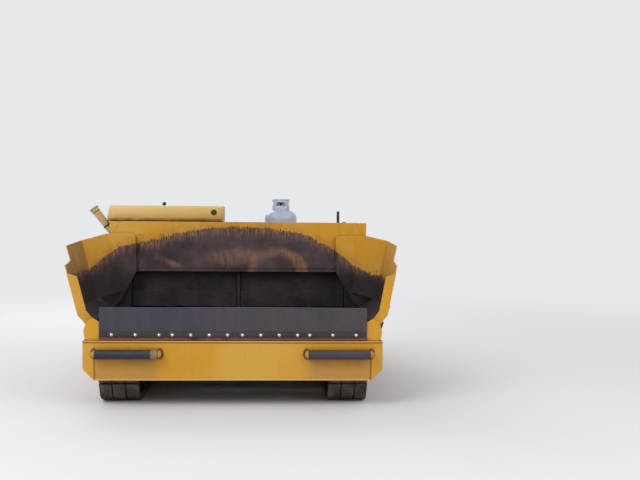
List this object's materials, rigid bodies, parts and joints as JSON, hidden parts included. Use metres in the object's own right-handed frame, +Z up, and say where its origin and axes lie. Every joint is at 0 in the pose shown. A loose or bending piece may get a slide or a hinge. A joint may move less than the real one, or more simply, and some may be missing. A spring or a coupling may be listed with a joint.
{
  "type": "tracked asphalt paver",
  "caption": "Small tracked asphalt paver with folding hopper wings, slat conveyors, augers, a towed screed with sliding extensions and two operator stations.",
  "frame": {"origin": "on the ground under the middle of the whole machine", "axes": "+Y points to the rear (the screed), the hopper faces -Y; +Z up; +X to the right seen from the front"},
  "size_m": [2.7914, 3.88, 1.715],
  "materials": {
    "yellow_paint": "worn semi-gloss",
    "dark_paint": "worn matt",
    "worn_steel": "worn bare steel",
    "flap_rubber": "matt",
    "track_rubber": "matt, dusty",
    "cast_engine": "matt",
    "bottle_paint": "satin",
    "seat_vinyl": "satin vinyl",
    "plated_rod": "polished"
  },
  "bodies": {
    "chassis": {"main_frame": "yellow_paint", "tunnel_housing": "dark_paint", "front_bumper": "yellow_paint", "hopper_floor": "yellow_paint", "rear_wall": "yellow_paint", "apron_flap": "flap_rubber", "flap_bars": "dark_paint", "conveyor_left": "worn_steel", "conveyor_right": "worn_steel", "engine_block": "cast_engine", "radiator": "dark_paint", "engine_cowl": "yellow_paint", "filler_neck": "yellow_paint", "oil_tank": "yellow_paint", "gas_bottle": "bottle_paint", "operator_deck": "yellow_paint", "console_left": "yellow_paint", "console_right": "yellow_paint", "seat_frames": "dark_paint", "seat_pads": "seat_vinyl", "handrails": "yellow_paint", "track_frame_left": "yellow_paint", "track_frame_right": "yellow_paint", "track_left": "track_rubber", "track_right": "track_rubber", "track_wheels_left": "worn_steel", "track_wheels_right": "worn_steel", "auger_drive": "yellow_paint"},
    "wing_left": {"wing_left": "yellow_paint"},
    "wing_right": {"wing_right": "yellow_paint"},
    "wing_barrel_left": {"wing_barrel_left": "dark_paint"},
    "wing_barrel_right": {"wing_barrel_right": "dark_paint"},
    "wing_rod_left": {"wing_rod_left": "plated_rod"},
    "wing_rod_right": {"wing_rod_right": "plated_rod"},
    "push_roller_left": {"push_roller_left": "dark_paint"},
    "push_roller_right": {"push_roller_right": "dark_paint"},
    "gate_left": {"gate_left": "dark_paint"},
    "gate_right": {"gate_right": "dark_paint"},
    "auger_left": {"auger_left": "worn_steel"},
    "auger_right": {"auger_right": "worn_steel"},
    "hood": {"engine_hood": "yellow_paint"},
    "screed": {"screed_body": "yellow_paint", "screed_arms": "yellow_paint", "screed_walkway": "worn_steel", "depth_screws": "worn_steel"},
    "extension_left": {"extension_left": "yellow_paint"},
    "extension_right": {"extension_right": "yellow_paint"},
    "lift_barrel_left": {"lift_barrel_left": "dark_paint"},
    "lift_barrel_right": {"lift_barrel_right": "dark_paint"},
    "lift_rod_left": {"lift_rod_left": "plated_rod"},
    "lift_rod_right": {"lift_rod_right": "plated_rod"}
  },
  "joints": [
    {"name": "wing_right_swing", "type": "hinge", "parent": "chassis", "child": "wing_right", "pos_m": [1.15, -1.2, 0.69], "axis": [0, -1, 0], "range_deg": [0, 45]},
    {"name": "wing_barrel_right_swing", "type": "hinge", "parent": "chassis", "child": "wing_barrel_right", "pos_m": [1.165, -1.23, 0.33], "axis": [0, -1, 0], "range_deg": [-1, 16]},
    {"name": "wing_rod_right_slide", "type": "slide", "parent": "wing_barrel_right", "child": "wing_rod_right", "axis": [0.3437, 0, 0.9391], "range_m": [-0.005, 0.1]},
    {"name": "wing_left_swing", "type": "hinge", "parent": "chassis", "child": "wing_left", "pos_m": [-1.15, -1.2, 0.69], "axis": [0, 1, 0], "range_deg": [0, 45]},
    {"name": "wing_barrel_left_swing", "type": "hinge", "parent": "chassis", "child": "wing_barrel_left", "pos_m": [-1.165, -1.23, 0.33], "axis": [0, 1, 0], "range_deg": [-1, 16]},
    {"name": "wing_rod_left_slide", "type": "slide", "parent": "wing_barrel_left", "child": "wing_rod_left", "axis": [-0.3621, 0, 0.9321], "range_m": [-0.005, 0.1]},
    {"name": "push_roller_right_spin", "type": "hinge", "parent": "chassis", "child": "push_roller_right", "pos_m": [0.86, -1.902, 0.44], "axis": [1, 0, 0], "continuous": true},
    {"name": "gate_right_lift", "type": "slide", "parent": "chassis", "child": "gate_right", "axis": [0, 0, 1], "range_m": [-0.07, 0.18]},
    {"name": "auger_right_spin", "type": "hinge", "parent": "chassis", "child": "auger_right", "pos_m": [0.5, 1.11, 0.24], "axis": [1, 0, 0], "continuous": true},
    {"name": "extension_right_slide", "type": "slide", "parent": "screed", "child": "extension_right", "axis": [1, 0, 0], "range_m": [0, 0.7]},
    {"name": "push_roller_left_spin", "type": "hinge", "parent": "chassis", "child": "push_roller_left", "pos_m": [-0.86, -1.902, 0.44], "axis": [1, 0, 0], "continuous": true},
    {"name": "gate_left_lift", "type": "slide", "parent": "chassis", "child": "gate_left", "axis": [0, 0, 1], "range_m": [-0.07, 0.18]},
    {"name": "auger_left_spin", "type": "hinge", "parent": "chassis", "child": "auger_left", "pos_m": [-0.5, 1.11, 0.24], "axis": [1, 0, 0], "continuous": true},
    {"name": "extension_left_slide", "type": "slide", "parent": "screed", "child": "extension_left", "axis": [-1, 0, 0], "range_m": [0, 0.7]},
    {"name": "hood_hinge", "type": "hinge", "parent": "chassis", "child": "hood", "pos_m": [-0.7, 0.148, 1.499], "axis": [-1, 0, 0], "range_deg": [0, 68]},
    {"name": "screed_lift", "type": "hinge", "parent": "chassis", "child": "screed", "pos_m": [0, -0.19, 0.45], "axis": [1, 0, 0], "range_deg": [-2.3, 8]},
    {"name": "lift_barrel_right_swing", "type": "hinge", "parent": "chassis", "child": "lift_barrel_right", "pos_m": [1.157, 0.86, 1.15], "axis": [1, 0, 0], "range_deg": [-1, 1]},
    {"name": "lift_rod_right_slide", "type": "slide", "parent": "lift_barrel_right", "child": "lift_rod_right", "axis": [0, 0.114, -0.9935], "range_m": [-0.165, 0.055]},
    {"name": "lift_barrel_left_swing", "type": "hinge", "parent": "chassis", "child": "lift_barrel_left", "pos_m": [-1.157, 0.86, 1.15], "axis": [1, 0, 0], "range_deg": [-1, 1]},
    {"name": "lift_rod_left_slide", "type": "slide", "parent": "lift_barrel_left", "child": "lift_rod_left", "axis": [0, 0.114, -0.9935], "range_m": [-0.165, 0.055]}
  ],
  "couplings": [
    {"joint": "wing_barrel_right_swing", "follows": "wing_right_swing", "ratio": 0.3172},
    {"joint": "wing_rod_right_slide", "follows": "wing_right_swing", "m_per_rad": 0.10338},
    {"joint": "wing_barrel_left_swing", "follows": "wing_left_swing", "ratio": 0.3081},
    {"joint": "wing_rod_left_slide", "follows": "wing_left_swing", "m_per_rad": 0.1106},
    {"joint": "lift_barrel_right_swing", "follows": "screed_lift", "ratio": -0.0353},
    {"joint": "lift_rod_right_slide", "follows": "screed_lift", "m_per_rad": -1.1226},
    {"joint": "lift_barrel_left_swing", "follows": "screed_lift", "ratio": -0.0353},
    {"joint": "lift_rod_left_slide", "follows": "screed_lift", "m_per_rad": -1.1226}
  ]
}
